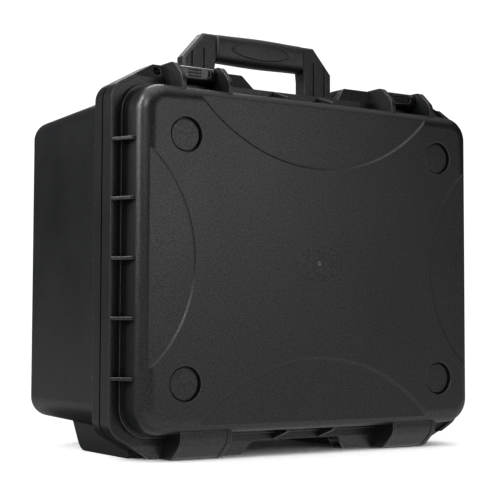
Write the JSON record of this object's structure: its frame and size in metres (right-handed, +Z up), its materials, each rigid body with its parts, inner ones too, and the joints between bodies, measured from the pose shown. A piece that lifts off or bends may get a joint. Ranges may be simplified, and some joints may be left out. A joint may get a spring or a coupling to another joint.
{
  "type": "hard case",
  "caption": "Hard protective case with a hinged lid, hooked pull latches and a folding carrying handle, standing on its hinge side.",
  "frame": {"origin": "on the floor, under the middle of the case's bounding box with the handle raised", "axes": "+X to the right seen from the lid, +Y from the lid to the back of the base, +Z up from the hinge side to the handle side"},
  "size_m": [0.459, 0.296, 0.467],
  "materials": {
    "case_plastic": "fine moulded grain, satin",
    "latch_plastic": "smooth moulded, satin",
    "grip_plastic": "soft moulded, matt",
    "seal_rubber": "matt",
    "vent_plastic": "smooth moulded",
    "membrane": "woven membrane",
    "pin_steel": "ground"
  },
  "bodies": {
    "base": {"base_shell": "case_plastic", "hinge_pin_left": "pin_steel", "hinge_pin_right": "pin_steel", "latch_pin_left": "pin_steel", "latch_pin_right": "pin_steel", "handle_pin_left": "pin_steel", "handle_pin_right": "pin_steel", "vent_body": "vent_plastic", "vent_cap": "vent_plastic", "vent_seal": "seal_rubber", "vent_nut": "vent_plastic", "vent_membrane": "membrane"},
    "lid": {"lid_shell": "case_plastic", "lid_seal": "seal_rubber"},
    "latch_left": {"latch_left": "latch_plastic"},
    "latch_right": {"latch_right": "latch_plastic"},
    "handle": {"handle_frame": "latch_plastic", "handle_grip": "grip_plastic"}
  },
  "joints": [
    {"name": "lid_hinge", "type": "hinge", "parent": "base", "child": "lid", "pos_m": [0, -0.088, 0.0055], "axis": [1, 0, 0], "range_deg": [0, 95]},
    {"name": "latch_left_pivot", "type": "hinge", "parent": "base", "child": "latch_left", "pos_m": [-0.1357, -0.058, 0.398], "axis": [-1, 0, 0], "range_deg": [0, 110]},
    {"name": "latch_right_pivot", "type": "hinge", "parent": "base", "child": "latch_right", "pos_m": [0.1357, -0.058, 0.398], "axis": [-1, 0, 0], "range_deg": [0, 110]},
    {"name": "handle_pivot", "type": "hinge", "parent": "base", "child": "handle", "pos_m": [0, -0.022, 0.388], "axis": [1, 0, 0], "range_deg": [-75, 30]}
  ]
}
